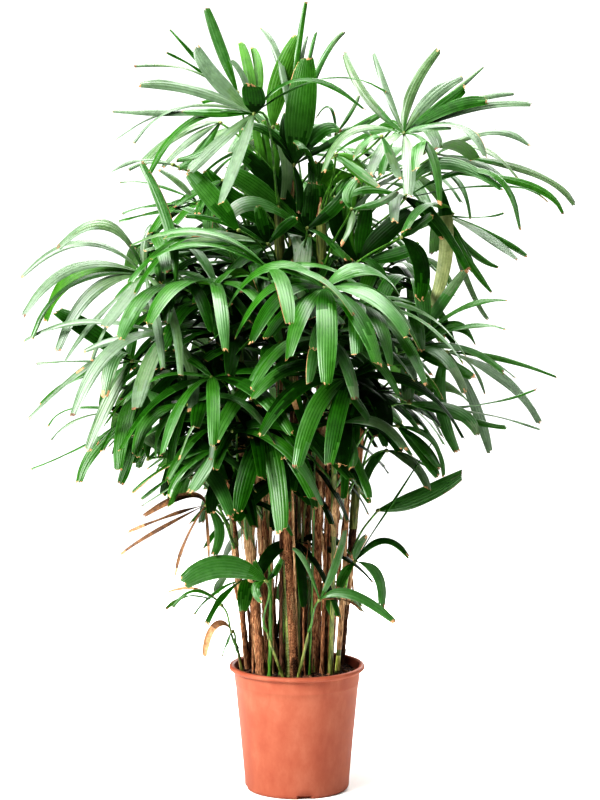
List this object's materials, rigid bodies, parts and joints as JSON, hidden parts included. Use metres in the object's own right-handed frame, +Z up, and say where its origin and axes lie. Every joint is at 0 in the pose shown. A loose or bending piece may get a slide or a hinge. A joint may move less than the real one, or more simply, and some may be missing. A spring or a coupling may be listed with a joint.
{
  "type": "potted lady palm",
  "caption": "Bushy lady palm: a clump of thin fibrous canes with arching fan-shaped fronds, standing in a round nursery pot.",
  "frame": {"origin": "centre of the pot's flat underside, on the surface that the pot stands on", "axes": "+Z up along the pot's axis, -Y towards the plant's fullest side, +X to the right of it"},
  "size_m": [1.0593, 1.0036, 1.5468],
  "materials": {
    "pot_plastic": "satin",
    "bark_mulch": "matte",
    "cane_fibre": "matte",
    "green_cane": "satin",
    "leaf": "satin"
  },
  "bodies": {
    "root": {"cane_back": "cane_fibre", "cane_back_left": "cane_fibre", "cane_brown": "cane_fibre", "cane_dark": "cane_fibre", "cane_fibrous": "cane_fibre", "cane_green": "green_cane", "cane_heart": "cane_fibre", "cane_left": "cane_fibre", "cane_main": "cane_fibre", "cane_old_back": "cane_fibre", "cane_old_left": "cane_fibre", "cane_right": "cane_fibre", "cane_ringed": "green_cane", "cane_sheathed": "cane_fibre", "cane_shoot_left": "green_cane", "cane_shoot_low": "green_cane", "cane_shoot_right": "green_cane", "cane_stub": "cane_fibre", "crown_back": "leaf", "crown_back_left": "leaf", "crown_brown": "leaf", "crown_dark": "leaf", "crown_fibrous": "leaf", "crown_green": "leaf", "crown_heart": "leaf", "crown_left": "leaf", "crown_main": "leaf", "crown_right": "leaf", "crown_ringed": "leaf", "crown_sheathed": "leaf", "crown_shoot_left": "leaf", "crown_shoot_low": "leaf", "crown_shoot_right": "leaf", "frond_01": "leaf", "frond_02": "leaf", "frond_03": "leaf", "frond_04": "leaf", "frond_05": "leaf", "frond_06": "leaf", "frond_07": "leaf", "frond_08": "leaf", "frond_09": "leaf", "frond_10": "leaf", "frond_11": "leaf", "frond_12": "leaf", "frond_13": "leaf", "frond_14": "leaf", "frond_15": "leaf", "frond_16": "leaf", "frond_17": "leaf", "pot": "pot_plastic", "soil": "bark_mulch"}
  },
  "joints": []
}
